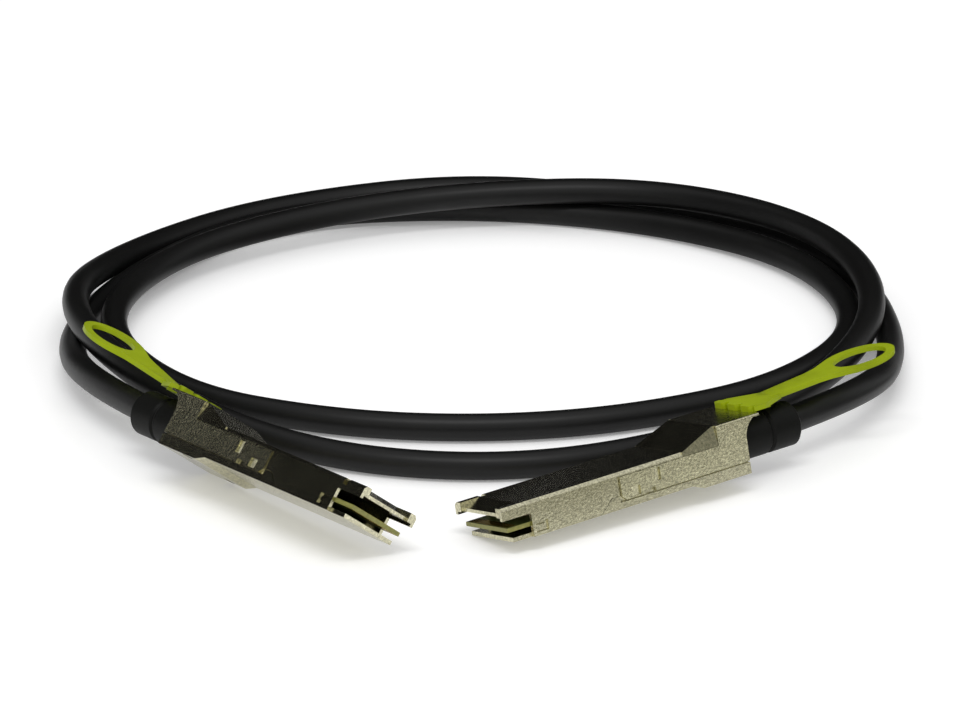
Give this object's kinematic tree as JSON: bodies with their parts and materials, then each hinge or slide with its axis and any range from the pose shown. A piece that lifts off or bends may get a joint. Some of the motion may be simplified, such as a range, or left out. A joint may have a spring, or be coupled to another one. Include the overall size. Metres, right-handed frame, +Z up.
{
  "type": "direct attach copper cable",
  "caption": "Coiled copper data cable with a die-cast plug at each end, rubber strain reliefs and green pull tabs that slide the latches.",
  "frame": {"origin": "on the floor, under the middle of the box round the two plugs and their pull tabs", "axes": "+Z up; +X to the right and +Y away from someone facing the two noses"},
  "size_m": [0.2093, 0.263, 0.0233],
  "materials": {
    "cable_rubber": "satin black jacket",
    "plated_shell": "fine-grained nickel plating on a casting",
    "circuit_board": "solder mask",
    "gold": "polished gold plating",
    "chip_body": "matt",
    "capacitor_body": "ceramic",
    "wire_foil": "foil",
    "ferrule_brass": "plain",
    "boot_rubber": "matt black moulding",
    "slider_steel": "stamped, plated sheet",
    "spring_steel": "spring strip",
    "tab_plastic": "lime green moulding",
    "screw_steel": "plain"
  },
  "bodies": {
    "cable_assembly": {"cable_jacket": "cable_rubber", "left_upper_shell": "plated_shell", "left_lower_shell": "plated_shell", "left_paddle_card": "circuit_board", "left_contact_pads": "gold", "left_card_chip": "chip_body", "left_card_capacitors": "capacitor_body", "left_twinax_leads": "wire_foil", "left_crimp_ferrule": "ferrule_brass", "left_strain_relief": "boot_rubber", "left_latch_springs": "spring_steel", "left_shell_screws": "screw_steel", "right_upper_shell": "plated_shell", "right_lower_shell": "plated_shell", "right_paddle_card": "circuit_board", "right_contact_pads": "gold", "right_card_chip": "chip_body", "right_card_capacitors": "capacitor_body", "right_twinax_leads": "wire_foil", "right_crimp_ferrule": "ferrule_brass", "right_strain_relief": "boot_rubber", "right_latch_springs": "spring_steel", "right_shell_screws": "screw_steel"},
    "left_latch": {"left_latch_slider": "slider_steel", "left_pull_tab": "tab_plastic"},
    "right_latch": {"right_latch_slider": "slider_steel", "right_pull_tab": "tab_plastic"}
  },
  "joints": [
    {"name": "left_latch_slide", "type": "slide", "parent": "cable_assembly", "child": "left_latch", "axis": [-0.6346, 0.7726, -0.0192], "range_m": [0, 0.0025], "stiffness_N_per_m": 800, "deforming": ["left_latch_springs"]},
    {"name": "right_latch_slide", "type": "slide", "parent": "cable_assembly", "child": "right_latch", "axis": [0.8053, 0.5916, 0.0384], "range_m": [0, 0.0025], "stiffness_N_per_m": 800, "deforming": ["right_latch_springs"]}
  ]
}
